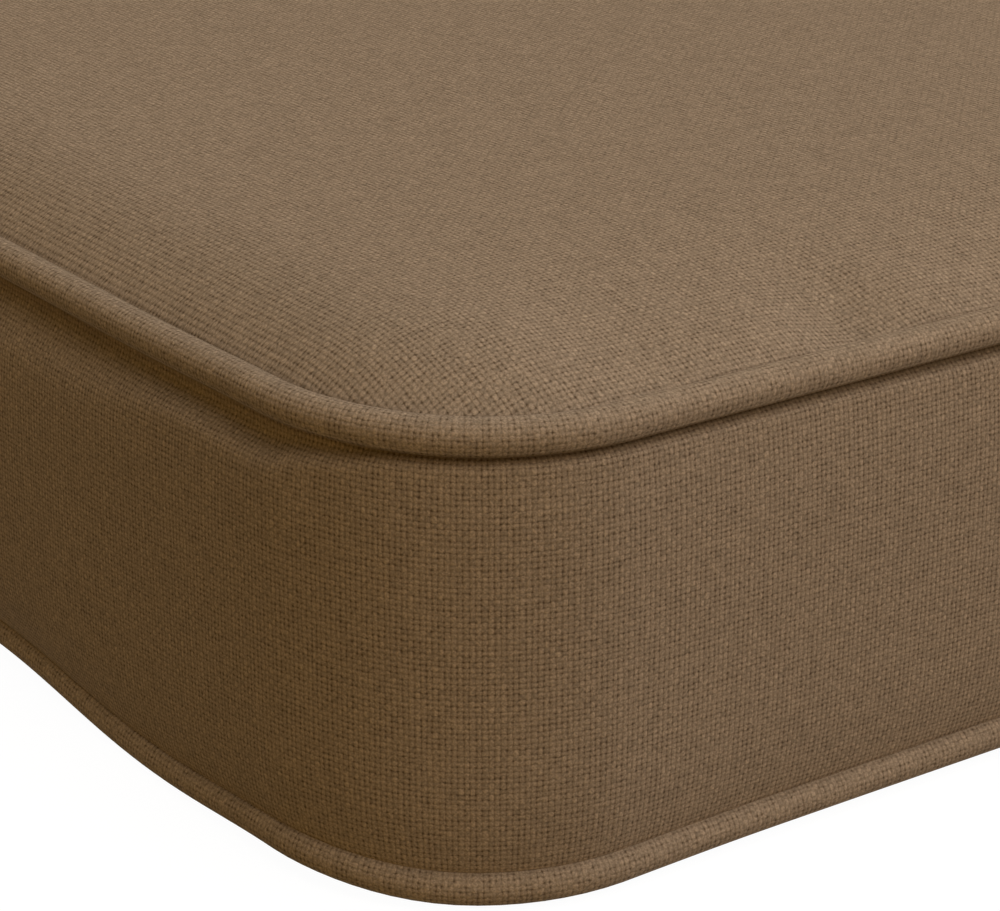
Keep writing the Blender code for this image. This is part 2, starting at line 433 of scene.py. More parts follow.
@dataclass(frozen=True)
class CushionShape:
    """The cushion's form: everything that its cover and its pipings share.

    The cover lies in a groove round each cord, and its lips sink into the cord where the cloth is sewn. The
    boxing comes out under the top cord to a soft shoulder, and is drawn in again above the bottom cord. The
    top panel rolls up from its seam and then rises to its crown. Angles in the section are in degrees: 0
    points outwards, 90 up, 180 inwards and 270 down.
    """

    corner_radius: float = 40.3 * MM
    cord_radius: float = 2.9 * MM
    box_height: float = 76.2 * MM
    groove_radius: float = 2.75 * MM
    lip_radius: float = 2.3 * MM
    seam_angle: float = 126.0
    low_seam_angle: float = 234.0
    groove_steps: int = 6
    boxing_rows: tuple[float, ...] = (
        0.010, 0.022, 0.035, 0.050, 0.066, 0.084, 0.104, 0.135, 0.19,
        0.28, 0.42, 0.57, 0.71, 0.82, 0.895, 0.95, 0.98,
    )
    shoulder: float = 1.0 * MM
    shoulder_depth: float = 15.0 * MM
    # How far down the painted shade in the crease under the top cord reaches: a base, and a share of the
    # fold.
    crease_reach: float = 0.4 * MM
    crease_share: float = 0.18
    low_draw: float = 16.0 * MM
    low_draw_power: float = 2.4
    roll_rise: float = 9.0 * MM
    roll_power: float = 2.4
    crown_rise: float = 3.4 * MM
    seam_fade: float = 22.0 * MM
    bottom_flat_start: float = 14.0 * MM
    outline: Outline = field(init=False)
    top_seam: Seam = field(init=False)
    bottom_seam: Seam = field(init=False)

    def __post_init__(self) -> None:
        """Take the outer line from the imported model's box and lay both seams on it."""
        low, high = CAD_BOX
        outline = Outline((high.x - low.x) / 2, (high.y - low.y) / 2, self.corner_radius)
        top_level = self.box_height - self.cord_radius
        object.__setattr__(self, "outline", outline)
        object.__setattr__(self, "top_seam", Seam(outline, top_level, TOP_SEAM_ROWS))
        object.__setattr__(self, "bottom_seam", Seam(outline, self.cord_radius, BOTTOM_SEAM_ROWS))

    @property
    def seam_inset(self) -> float:
        """Inset of both panels' seams from the outer line, where the cord lies in its plain place."""
        return self.cord_radius - self.lip_radius * math.cos(math.radians(self.seam_angle))

    def round_cord(
        self, seam: Seam, along: np.ndarray, degrees: float | np.ndarray, radius: float
    ) -> np.ndarray:
        """Points of the cover at one direction round a cord.

        Args:
            seam: the cord's seam.
            along: distances along the outline.
            degrees: direction in the section: 0 is outwards, 90 up and 180 inwards.
            radius: distance from the cord's middle.

        Returns:
            One point for each distance.
        """
        angle = np.radians(degrees)
        inset = self.cord_radius - seam.shift(along) - radius * np.cos(angle)
        return self.placed(along, inset, seam.height(along) + radius * np.sin(angle))

    def placed(self, along: np.ndarray, inset: np.ndarray, height: np.ndarray) -> np.ndarray:
        """Points square in from the outer line, at these insets and heights."""
        points, outwards = self.outline.station(along)
        return np.column_stack([points - outwards * inset[:, None], height])

    def tuck(self, column: str, along: np.ndarray) -> np.ndarray:
        """One column of the boxing's tucks, at distances along the outline."""
        return eased(TUCK_ROWS, column, along, self.outline.length)

    def side_rings(self, along: np.ndarray) -> list[np.ndarray]:
        """The rings down the cushion's side, from the top panel's seam to the bottom panel's.

        Args:
            along: distances along the outline.

        Returns:
            For each ring, one point for each distance.
        """
        top_angle, hang, fold, bottom_angle, swell = (
            self.tuck(column, along) for column in ("top_angle", "hang", "fold", "bottom_angle", "swell")
        )
        top, low = [], []
        for share in np.linspace(0, 1, self.groove_steps):
            high_turn = self.seam_angle + (top_angle - self.seam_angle) * share
            low_turn = bottom_angle + (self.low_seam_angle - bottom_angle) * share
            high_radius = self.lip_radius if share == 0 else self.groove_radius
            low_radius = self.lip_radius if share in (0, 1) else self.groove_radius
            top.append(self.round_cord(self.top_seam, along, high_turn, high_radius))
            low.append(self.round_cord(self.bottom_seam, along, low_turn, low_radius))
        points, outwards = self.outline.station(along)
        top_inset = ((points - top[-1][:, :2]) * outwards).sum(axis=1)
        low_inset = ((points - low[0][:, :2]) * outwards).sum(axis=1)
        span = top[-1][:, 2] - low[0][:, 2]
        band = []
        for down in self.boxing_rows:
            depth = down * span
            out = np.clip((depth - hang) / (fold - hang), 0, 1)
            held_in = 1 - out**2 * (3 - 2 * out)
            shoulder = self.shoulder * np.clip(1 - depth / self.shoulder_depth, 0, None) ** 2
            low_draw = np.clip(1 - (span - depth) / self.low_draw, 0, None) ** self.low_draw_power
            upper = (top_inset + swell - shoulder) * held_in + shoulder
            inset = upper + (low_inset + swell) * low_draw - swell
            band.append(self.placed(along, inset, top[-1][:, 2] - depth))
        return top + band + low

    @property
    def ring_count(self) -> int:
        """How many rings there are down the side."""
        return 2 * self.groove_steps + len(self.boxing_rows)

    def side_downs(self, along: np.ndarray) -> np.ndarray:
        """How far down the boxing's cloth each ring of the side lies, from the strip's middle line."""
        steps = np.linalg.norm(np.diff(np.array(self.side_rings(along)), axis=0), axis=2)
        downs = np.vstack([np.zeros(len(along)), np.cumsum(steps, axis=0)])
        return downs - downs[-1] / 2

    def fold_shade(self, along: np.ndarray, ring: int) -> np.ndarray:
        """Painted shade for one ring of the side, in the crease under the top cord: 1 in it and 0 out of it.
        """
        start = self.groove_steps - 1
        if ring <= start:
            return np.full(len(along), 1.0 if ring > start / 2 else 0.0)
        rings = self.side_rings(along)
        depth = rings[start][:, 2] - rings[ring][:, 2]
        reach = self.crease_reach + self.crease_share * self.tuck("fold", along)
        return np.exp(-((depth / reach) ** 2))

    def top_height(self, plan: np.ndarray, from_seam: np.ndarray, along: np.ndarray) -> np.ndarray:
        """Height of the top panel.

        Args:
            plan: points in the plan.
            from_seam: their distances from the panel's seam.
            along: their distances along the outline.

        Returns:
            Heights over the surface that the cushion lies on.
        """
        lift = self.top_seam.height(along) - self.top_seam.level
        level = self.top_seam.level + lift * np.exp(-from_seam / self.seam_fade)
        seam = level + self.lip_radius * math.sin(math.radians(self.seam_angle))
        width = eased(ROLL_ROWS, "width", along, self.outline.length)
        roll = self.roll_rise * (1 - (1 - np.clip(from_seam / width, 0, 1)) ** self.roll_power)
        crown_x = 1 - (plan[:, 0] / self.outline.half_length) ** 2
        crown_y = 1 - (plan[:, 1] / self.outline.half_depth) ** 2
        return seam + roll + self.crown_rise * crown_x * crown_y * np.clip(from_seam / self.seam_fade, 0, 1)


@dataclass
class CushionCover:
    """The sewn cover over its filling: top panel, boxing and bottom panel."""

    shape: CushionShape
    cell: float = 10.0 * MM
    border_distances: tuple[float, ...] = (
        0.0, 0.9 * MM, 2.4 * MM, 5.0 * MM, 9.0 * MM, 14.5 * MM, 21.0 * MM, 28.0 * MM,
    )
    weld: float = 0.02 * MM
    seam_margin: float = 1.2 * MM
    pressure: float = 4.0
    foam_hold: float = 0.25
    most_swell: float = 2.5 * MM
    steps: int = 20
    dents: tuple[Dent, ...] = (
        Dent(from_left=86 * MM, from_front=12 * MM, radius_x=7 * MM, radius_y=11 * MM, height=-1.7 * MM),
        Dent(from_left=73 * MM, from_front=13 * MM, radius_x=7 * MM, radius_y=11 * MM, height=0.6 * MM),
        Dent(from_left=101 * MM, from_front=11 * MM, radius_x=9 * MM, radius_y=9 * MM, height=0.9 * MM),
        Dent(from_left=60 * MM, from_front=12 * MM, radius_x=8 * MM, radius_y=9 * MM, height=0.9 * MM),
    )

    @property
    def border_lines(self) -> list[float]:
        """Distances of the grid's lines from the seam, in to the corners' centres."""
        return [*self.border_distances, self.shape.corner_radius - self.shape.seam_inset]

    def line_counts(self) -> tuple[int, int]:
        """Cells of a panel's grid along the cushion and across it."""
        core_x, core_y = self.shape.outline.core
        border = 2 * (len(self.border_lines) - 1)
        return round(2 * core_x / self.cell) + border, round(2 * core_y / self.cell) + border

    def panel_plan(self, unit: np.ndarray) -> tuple[np.ndarray, np.ndarray]:
        """Fit a plain square grid to the panel's rounded outline.

        Args:
            unit: the grid's points, from -0.5 to 0.5 each way.

        Returns:
            The points in the plan, and their distances from the seam.
        """
        lines = self.border_lines
        border = len(lines) - 1
        counts = np.array(self.line_counts())
        core = np.array(self.shape.outline.core)
        steps = (unit * counts).round(3)
        into = counts / 2 - np.abs(steps)
        straight = np.abs(steps) * core / (counts / 2 - border)
        in_border = into < border
        line_numbers = np.arange(border + 1)
        reach = np.where(in_border, core + lines[-1] - np.interp(into, line_numbers, lines), straight)
        sides = np.where(steps < 0, -1, 1)
        from_centre = np.clip(border - into, 0, None)
        ring = from_centre.max(axis=1)
        corner = in_border.all(axis=1)
        share = from_centre.min(axis=1) / np.maximum(ring, 1e-9)
        angle = np.where(from_centre[:, 0] >= from_centre[:, 1], share, 2 - share) * math.pi / 4
        radius = lines[-1] - np.interp(border - ring, line_numbers, lines)
        turned = core + radius[:, None] * np.column_stack([np.cos(angle), np.sin(angle)])
        reach[corner] = turned[corner]
        from_seam = lines[-1] - radius
        inner = ring == 0
        from_seam[inner] = (self.shape.outline.edge_distance(reach * sides) - self.shape.seam_inset)[inner]
        return reach * sides, from_seam

    def place_panel(self, unit: np.ndarray, panel: Panel) -> tuple[np.ndarray, np.ndarray]:
        """Put a plain grid's points on a panel.

        Args:
            unit: the grid's points, from -0.5 to 0.5 each way.
            panel: the top or the bottom panel.

        Returns:
            The points on the panel, and their distances along the outline.
        """
        shape = self.shape
        plan, from_seam = self.panel_plan(unit)
        along = shape.outline.distance_along(plan)
        seam = shape.top_seam if panel is Panel.TOP else shape.bottom_seam
        outwards = shape.outline.station(along)[1]
        fade = np.exp(-from_seam / shape.seam_fade)
        plan = plan + outwards * (seam.shift(along) * fade)[:, None]
        if panel is Panel.TOP:
            height = shape.top_height(plan, from_seam, along)
        else:
            rise = np.clip(1 - from_seam / shape.bottom_flat_start, 0, 1) ** 2
            low = seam.height(along) + shape.lip_radius * math.sin(math.radians(shape.low_seam_angle))
            height = np.clip(low, 0, None) * rise
        return np.column_stack([plan, height]), along

    def build(self) -> Object:
        """Model the cover and let its filling swell it.

        Returns:
            The finished cover.
        """
        piece = self.add_top_panel()
        self.extrude_side()
        self.add_bottom_panel()
        bpy.ops.mesh.select_all(action="SELECT")
        bpy.ops.mesh.remove_doubles(threshold=self.weld)
        bpy.ops.mesh.normals_make_consistent(inside=False)
        bpy.ops.object.mode_set(mode="OBJECT")
        self.lay_out_cloth(piece)
        self.swell(piece)
        self.refine(piece)
        return piece

    def add_top_panel(self) -> Object:
        """Add a grid, fit it to the top panel, and stay in edit mode with its edge selected.

        Returns:
            The new object.
        """
        columns, rows = self.line_counts()
        bpy.ops.mesh.primitive_grid_add(x_subdivisions=columns, y_subdivisions=rows, size=1)
        piece = bpy.context.active_object
        piece.name = piece.data.name = "cushion_cover"
        bpy.ops.object.mode_set(mode="EDIT")
        mesh = bmesh.from_edit_mesh(piece.data)
        for name in ("along", "down", "fold_shade"):
            mesh.verts.layers.float.new(name)
        mesh.verts.layers.int.new("ring")
        mesh.faces.layers.int.new("panel")
        self.place_grid(mesh, list(mesh.verts), Panel.TOP)
        bpy.ops.mesh.select_mode(type="EDGE")
        for part in (mesh.verts, mesh.edges, mesh.faces):
            for item in part:
                item.select_set(False)
        for edge in mesh.edges:
            edge.select_set(edge.is_boundary)
        bmesh.update_edit_mesh(piece.data)
        return piece

    def place_grid(self, mesh: bmesh.types.BMesh, verts: list, panel: Panel) -> None:
        """Fit a unit grid's vertices to a panel and note where they are.

        Args:
            mesh: the mesh in edit mode.
            verts: the grid's vertices.
            panel: the top or the bottom panel.
        """
        unit = np.array([vert.co[:2] for vert in verts])
        points, along = self.place_panel(unit, panel)
        self.place_verts(mesh, verts, points, along, 0 if panel is Panel.TOP else self.shape.ring_count - 1)

    def place_verts(
        self, mesh: bmesh.types.BMesh, verts: list, points: np.ndarray, along: np.ndarray, ring: int
    ) -> None:
        """Put vertices in their places and note where they are in the cloth.

        Args:
            mesh: the mesh in edit mode.
            verts: the vertices.
            points: their places.
            along: their distances along the outline.
            ring: the ring of the side that they are in, or that their panel starts from.
        """
        along_layer, down_layer, shade_layer = mesh.verts.layers.float.values()
        ring_layer = mesh.verts.layers.int["ring"]
        downs = self.shape.side_downs(along)[ring]
        shades = self.shape.fold_shade(along, ring)
        for vert, point, distance, down, shade in zip(verts, points, along, downs, shades):
            vert.co = point
            vert[along_layer] = distance
            vert[down_layer] = down
            vert[shade_layer] = shade
            vert[ring_layer] = ring

    def extrude_side(self) -> None:
        """Extrude the selected edge ring by ring down the side, to the bottom panel's seam."""
        data = bpy.context.active_object.data
        mesh = bmesh.from_edit_mesh(data)
        top_faces = len(mesh.faces)
        for ring in range(1, self.shape.ring_count):
            bpy.ops.mesh.extrude_region_move()
            mesh = bmesh.from_edit_mesh(data)
            along_layer = mesh.verts.layers.float["along"]
            verts = [vert for vert in mesh.verts if vert.select]
            along = np.array([vert[along_layer] for vert in verts])
            self.place_verts(mesh, verts, self.shape.side_rings(along)[ring], along, ring)
            bmesh.update_edit_mesh(data)
        mesh.faces.ensure_lookup_table()
        panel_layer = mesh.faces.layers.int["panel"]
        for face in mesh.faces[top_faces:]:
            face[panel_layer] = Panel.BOXING.value

    def add_bottom_panel(self) -> None:
        """Add a second grid to the mesh and fit it to the bottom panel."""
        data = bpy.context.active_object.data
        columns, rows = self.line_counts()
        bpy.ops.mesh.select_all(action="DESELECT")
        bpy.ops.mesh.primitive_grid_add(x_subdivisions=columns, y_subdivisions=rows, size=1)
        mesh = bmesh.from_edit_mesh(data)
        verts = [vert for vert in mesh.verts if vert.select]
        self.place_grid(mesh, verts, Panel.BOTTOM)
        panel_layer = mesh.faces.layers.int["panel"]
        for face in mesh.faces:
            if face.select:
                face[panel_layer] = Panel.BOTTOM.value
        bmesh.update_edit_mesh(data)

    def lay_out_cloth(self, piece: Object) -> None:
        """Give the cover its cloth map: the panels lie flat and the boxing is one long strip.

        The strip's two ends meet at the middle of the back.
        """
        corners, faces = corner_vertices(piece)
        outline = self.shape.outline
        along = layer_values(piece, "along")[corners]
        down = layer_values(piece, "down")[corners]
        on_boxing = layer_values(piece, "panel", int)[faces] == Panel.BOXING.value
        back_start, back_end = outline.stretches[5:7]
        strip = unwrapped(along, faces, (back_start + back_end) / 2, outline.length)
        flat = mesh_points(piece)[corners, :2]
        add_cloth_map(piece, np.where(on_boxing[:, None], np.column_stack([strip, -down]), flat))

    def sewn_down(self, piece: Object) -> np.ndarray:
        """Indices of the vertices that the seams, the cords and the rest face hold in place."""
        ring = layer_values(piece, "ring", int)
        groove = self.shape.groove_steps - 1
        free_band = (ring > groove) & (ring < self.shape.ring_count - 1 - groove)
        from_edge = self.shape.outline.edge_distance(mesh_points(piece)[:, :2])
        free_top = (ring == 0) & (from_edge >= self.shape.seam_inset + self.seam_margin)
        return np.flatnonzero(~(free_band | free_top))

    def swell(self, piece: Object) -> None:
        """Let the filling press the cover out between its seams, in a cloth simulation.

        Args:
            piece: the cover, with its seams in place.
        """
        start = mesh_points(piece)
        held = piece.vertex_groups.new(name="held")
        held.add(list(range(len(start))), self.foam_hold, "REPLACE")
        held.add(self.sewn_down(piece).tolist(), 1.0, "REPLACE")
        cloth = piece.modifiers.new("filling", "CLOTH")
        settings = cloth.settings
        settings.quality = 5
        settings.mass = 0.02
        settings.tension_stiffness = 30
        settings.compression_stiffness = 30
        settings.shear_stiffness = 12
        settings.bending_stiffness = 2
        settings.use_pressure = True
        settings.uniform_pressure_force = self.pressure
        settings.vertex_group_mass = held.name
        settings.effector_weights.gravity = 0
        cloth.collision_settings.use_collision = False
        cloth.point_cache.frame_end = self.steps
        for step in range(1, self.steps + 1):
            bpy.context.scene.frame_set(step)
        graph = bpy.context.evaluated_depsgraph_get()
        swollen = mesh_points(piece.evaluated_get(graph))
        moved = swollen - start
        length = np.linalg.norm(moved, axis=1, keepdims=True)
        most, mean = length.max() / MM, length.mean() / MM
        LOG.info("the filling moves the cover by up to %.1f mm and %.2f mm on average", most, mean)
        capped = self.most_swell * np.tanh(length / self.most_swell)
        piece.modifiers.remove(cloth)
        piece.vertex_groups.remove(held)
        set_mesh_points(piece, start + moved * capped / np.maximum(length, 1e-9))
        bpy.context.scene.frame_set(1)

    def press_dents(self, piece: Object) -> None:
        """Press the photo's soft hollows and humps into the top panel."""
        points = mesh_points(piece)
        outline = self.shape.outline
        on_top = layer_values(piece, "ring", int) == 0
        for dent in self.dents:
            across = (points[:, 0] + outline.half_length - dent.from_left) / dent.radius_x
            deep = (points[:, 1] + outline.half_depth - dent.from_front) / dent.radius_y
            points[:, 2] += np.where(on_top, dent.height * np.exp(-across**2 - deep**2), 0)
        set_mesh_points(piece, points)

    def refine(self, piece: Object) -> None:
        """Subdivide the cover once, press its dents in, and drop its construction layers."""
        select_only(piece)
        finer = piece.modifiers.new("finer", "SUBSURF")
        finer.levels = finer.render_levels = 1
        bpy.ops.object.modifier_apply(modifier=finer.name)
        self.press_dents(piece)
        bpy.ops.object.shade_smooth()
        for name in ("along", "down", "ring", "panel"):
            piece.data.attributes.remove(piece.data.attributes[name])


@dataclass
class Piping:
    """A cord in its cloth, sewn into a seam all the way round, with its directions in degrees."""

    name: str
    shape: CushionShape
    seam: Seam
    crease_from: float = 238.0
    crease_to: float = 274.0
    crease_end: float = 310.0
    step: float = 3.4 * MM
    sides: int = 20
    weld: float = 0.1 * MM

    def build(self) -> Object:
        """Spin the cord's section into a ring, and bend the ring into the seam's line.

        Returns:
            The finished piping.
        """
        outline = self.shape.outline
        radius = self.shape.cord_radius
        ring_radius = outline.length / (2 * math.pi)
        bpy.ops.object.select_all(action="DESELECT")
        bpy.ops.mesh.primitive_circle_add(
            vertices=self.sides, radius=radius, location=(ring_radius, 0, 0), rotation=(math.pi / 2, 0, 0)
        )
        bpy.ops.object.transform_apply(location=True, rotation=True, scale=True)
        piece = bpy.context.active_object
        piece.name = piece.data.name = self.name
        bpy.ops.object.mode_set(mode="EDIT")
        bpy.ops.mesh.select_all(action="SELECT")
        steps = round(outline.length / self.step)
        bpy.ops.mesh.spin(steps=steps, angle=2 * math.pi, center=(0, 0, 0), axis=(0, 0, 1))
        bpy.ops.mesh.select_all(action="SELECT")
        bpy.ops.mesh.remove_doubles(threshold=self.weld)
        bpy.ops.mesh.normals_make_consistent(inside=False)
        bpy.ops.object.mode_set(mode="OBJECT")
        ring = mesh_points(piece)
        turn = np.arctan2(ring[:, 1], ring[:, 0])
        along = turn / (2 * math.pi) * outline.length
        out = np.hypot(ring[:, 0], ring[:, 1]) - ring_radius
        points, outwards = outline.station(along)
        inset = radius - self.seam.shift(along) - out
        plan = points - outwards * inset[:, None]
        set_mesh_points(piece, np.column_stack([plan, self.seam.height(along) + ring[:, 2]]))
        angle = np.arctan2(ring[:, 2], out)
        self.lay_out_cloth(piece, along, angle)
        if self.seam is self.shape.top_seam:
            self.shade_crease(piece, angle)
        bpy.ops.object.shade_smooth()
        return piece

    def shade_crease(self, piece: Object, angle: np.ndarray) -> None:
        """Note the painted shade of each vertex in the crease under the cord.

        Args:
            piece: the piping.
            angle: each vertex's direction round the cord. The shade grows from crease_from to crease_to, and
                stays up to crease_end, where the cord lies against the cover.
        """
        degrees = np.degrees(angle) % 360
        share = (degrees - self.crease_from) / (self.crease_to - self.crease_from)
        shade = np.where(degrees > self.crease_end, 0, np.clip(share, 0, 1)) ** 2
        piece.data.attributes.new("fold_shade", "FLOAT", "POINT")
        piece.data.attributes["fold_shade"].data.foreach_set("value", shade.astype(np.float32))

    def lay_out_cloth(self, piece: Object, along: np.ndarray, angle: np.ndarray) -> None:
        """Give the piping its cloth map: along the cord and round it, with both joins out of sight.

        Args:
            piece: the piping.
            along: each vertex's distance along the outline.
            angle: each vertex's direction round the cord.
        """
        corners, faces = corner_vertices(piece)
        around = self.shape.outline.length
        strip = unwrapped(along[corners], faces, around / 2, around)
        turn = unwrapped(angle[corners], faces, math.pi, 2 * math.pi)
        add_cloth_map(piece, np.column_stack([strip, turn * self.shape.cord_radius]))


def add_node(tree: NodeTree, kind: str, settings: dict, inputs: dict) -> Node:
    """Add a node to a tree.

    Args:
        tree: the material's or the world's node tree.
        kind: the node's type.
        settings: its properties.
        inputs: for each input's name or number, a value to set or an output to link.

    Returns:
        The new node.
    """
    node = tree.nodes.new(kind)
    for name, value in settings.items():
        setattr(node, name, value)
    for name, value in inputs.items():
        if isinstance(value, NodeSocket):
            tree.links.new(value, node.inputs[name])
        else:
            node.inputs[name].default_value = value
    return node


@dataclass(frozen=True)
class ClothNodes:
    """A material's node tree, with a short way to add each kind of node that a cloth is made of."""

    tree: NodeTree

    def number(self, operation: str, *inputs: NodeInput) -> NodeSocket:
        """One step of maths on numbers."""
        node = add_node(self.tree, "ShaderNodeMath", {"operation": operation}, dict(enumerate(inputs)))
        return node.outputs[0]

    def vector(self, operation: str, *inputs: NodeInput) -> NodeSocket:
        """One step of maths on vectors."""
        node = add_node(self.tree, "ShaderNodeVectorMath", {"operation": operation}, dict(enumerate(inputs)))
        return node.outputs[0]

    def scaled(self, vector: NodeSocket, factor: NodeInput) -> NodeSocket:
        """A vector times a number."""
        inputs = {0: vector, "Scale": factor}
        return add_node(self.tree, "ShaderNodeVectorMath", {"operation": "SCALE"}, inputs).outputs[0]

    def dot(self, first: NodeInput, second: NodeInput) -> NodeSocket:
        """The dot product of two vectors."""
        inputs = {0: first, 1: second}
        node = add_node(self.tree, "ShaderNodeVectorMath", {"operation": "DOT_PRODUCT"}, inputs)
        return node.outputs["Value"]

    def parts(self, vector: NodeSocket) -> tuple[NodeSocket, NodeSocket]:
        """A vector's X and Y."""
        outputs = add_node(self.tree, "ShaderNodeSeparateXYZ", {}, {0: vector}).outputs
        return outputs["X"], outputs["Y"]

    def noise(
        self, place: NodeSocket, dimensions: str = "2D", scale: float = 1.0, detail: float = 1.0
    ) -> NodeSocket:
        """Smooth noise, most of it within NOISE_RANGE."""
        inputs = {"Vector": place, "Scale": scale, "Detail": detail}
        node = add_node(self.tree, "ShaderNodeTexNoise", {"noise_dimensions": dimensions}, inputs)
        return node.outputs["Fac"]

    def mapped(
        self, value: NodeSocket, low: float, high: float, to_low: NodeInput, to_high: NodeInput,
        interpolation: str = "LINEAR",
    ) -> NodeSocket:
        """A value laid from the range low to high into the range to_low to to_high, and held within it."""
        inputs = {"Value": value, "From Min": low, "From Max": high, "To Min": to_low, "To Max": to_high}
        node = add_node(self.tree, "ShaderNodeMapRange", {"interpolation_type": interpolation}, inputs)
        return node.outputs["Result"]

    def mix(
        self, kind: str, factor: NodeSocket, first: NodeInput, second: NodeInput, blend: str = "MIX"
    ) -> NodeSocket:
        """A mix of two colours (kind RGBA) or two numbers (kind FLOAT)."""
        inputs = {"Factor": factor, "A": first, "B": second}
        settings = {"data_type": kind, "blend_type": blend}
        return add_node(self.tree, "ShaderNodeMix", settings, inputs).outputs["Result"]


@dataclass(frozen=True)
class PlainWeaveCloth:
    """Plain-weave upholstery cloth of thick spun yarns.

    Each yarn passes over and under the next, so the eye sees a small check of round floats with dark pores
    between them; their dark is painted shade, for the little light that reaches down between the yarns.
    The yarns are uneven: thick and thin stretches push the rows about, pores come in runs of open and closed
    ones, and each yarn has its own shade, which draws faint streaks both ways. The weft's floats are painted
    a little darker, as shade for the light that falls differently on floats running the other way. Short
    fibres make the floats rough and dull. In the crease under a cord the colour is darkened with painted
    shade, for the light that comes there only off the cloth beside it.

    The steps say how fast a noise changes from yarn to yarn, along the cloth map's two ways: slowly along a
    yarn, and anew from one yarn to the next.
    """

    name: str
    warp_spacing: float = 0.90 * MM
    weft_spacing: float = 0.875 * MM
    yarn_colour: str = "998670"
    # Painted shade: the dark that the pores between the yarns show.
    pore_shade_colour: str = "4c3825"
    # The colour that the painted shade in the crease under a cord multiplies the cloth by.
    crease_shade_colour: str = "d0c4a8"
    pore_height: float = -0.2
    float_height: float = 1.5
    pore_range: tuple[float, float] = (0.8, 1.2)
    closed_pore: float = 0.5
    crimp: float = 0.6
    relief: float = 0.055 * MM
    unevenness: float = 0.4
    # Painted shade: the weft's floats are darkened by this factor, for light falling differently on them.
    weft_shade: float = 0.91
    roughness: float = 0.95
    specular: float = 0.05
    streak: float = 0.10
    float_tone: float = 0.08
    fuzz: float = 0.30
    fibre_scale: float = 2.3
    fibre_detail: float = 3.0
    fibre_relief: float = 0.5
    twist: float = 0.05
    twist_turns: float = 1.7
    push_steps: tuple[tuple[float, ...], ...] = ((0.8, 0.06, 0.0), (0.06, 0.8, 0.0))
    pore_steps: tuple[tuple[float, ...], ...] = ((0.45, 3.71, 0.0), (4.33, 0.5, 0.0))
    along_yarn_steps: tuple[tuple[float, ...], ...] = ((0.0, 0.16, 0.0), (0.16, 0.0, 0.0))
    next_yarn_steps: tuple[tuple[float, ...], ...] = ((7.31, 0.0, 0.0), (0.0, 5.17, 3.7))

    def material(self) -> Material:
        """Make the cloth's material.

        Returns:
            A material that reads the map named cloth and the attribute named fold_shade.
        """
        cloth = bpy.data.materials.new(self.name)
        cloth.use_nodes = True
        tree = cloth.node_tree
        nodes = ClothNodes(tree)
        place = self.yarn_places(nodes)
        height, warp_over = self.yarn_heights(nodes, place)
        fibres = nodes.noise(place, scale=self.fibre_scale, detail=self.fibre_detail)
        closed = self.pore_covers(nodes, place)
        # Painted shade: the weave's colour is drawn towards the pores' dark where it lies low between the
        # yarns.
        cover = nodes.mapped(height, self.pore_height, self.float_height, closed, 1.0, "SMOOTHSTEP")
        colour = nodes.mix("RGBA", cover, linear(self.pore_shade_colour), linear(self.yarn_colour))
        shaded = nodes.scaled(colour, self.yarn_shades(nodes, place, warp_over, fibres))
        # Painted shade: the cloth is darkened in the crease under the top cord, by the shade noted on the
        # mesh.
        crease = add_node(tree, "ShaderNodeAttribute", {"attribute_name": "fold_shade"}, {}).outputs["Fac"]
        crease_shaded = nodes.mix("RGBA", crease, shaded, linear(self.crease_shade_colour), "MULTIPLY")
        rough_height = nodes.number("MULTIPLY_ADD", fibres, self.fibre_relief, height)
        bump = add_node(
            tree, "ShaderNodeBump", {}, {"Strength": 1.0, "Distance": self.relief, "Height": rough_height}
        )
        shader = tree.nodes["Principled BSDF"]
        tree.links.new(crease_shaded, shader.inputs["Base Color"])
        tree.links.new(bump.outputs["Normal"], shader.inputs["Normal"])
        shader.inputs["Roughness"].default_value = self.roughness
        shader.inputs["Specular IOR Level"].default_value = self.specular
        return cloth

    def yarn_places(self, nodes: ClothNodes) -> NodeSocket:
        """The cloth map counted in yarns, with the rows pushed about by thick and thin stretches.

        Args:
            nodes: the material's nodes.

        Returns:
            A socket with one unit for each yarn, both ways.
        """
        cloth_map = add_node(nodes.tree, "ShaderNodeUVMap", {"uv_map": "cloth"}, {}).outputs["UV"]
        counted = nodes.vector("MULTIPLY", cloth_map, (1 / self.warp_spacing, 1 / self.weft_spacing, 0.0))
        across, down = (nodes.noise(nodes.vector("MULTIPLY", counted, steps)) for steps in self.push_steps)
        both = add_node(nodes.tree, "ShaderNodeCombineXYZ", {}, {"X": across, "Y": down}).outputs[0]
        return nodes.vector("MULTIPLY_ADD", both, (self.unevenness, self.unevenness, 0.0), counted)

    def pore_covers(self, nodes: ClothNodes, place: NodeSocket) -> NodeSocket:
        """How far each pore is closed, with runs of open and of closed pores along the yarns both ways.

        Args:
            nodes: the material's nodes.
            place: the map counted in yarns.

        Returns:
            A socket with 0 for an open pore and more for a closed one.
        """
        pore = nodes.vector("FLOOR", nodes.vector("ADD", place, (0.5, 0.5, 0.0)))
        runs = [nodes.noise(nodes.vector("MULTIPLY", pore, steps)) for steps in self.pore_steps]
        return nodes.mapped(nodes.number("ADD", *runs), *self.pore_range, 0.0, self.closed_pore)

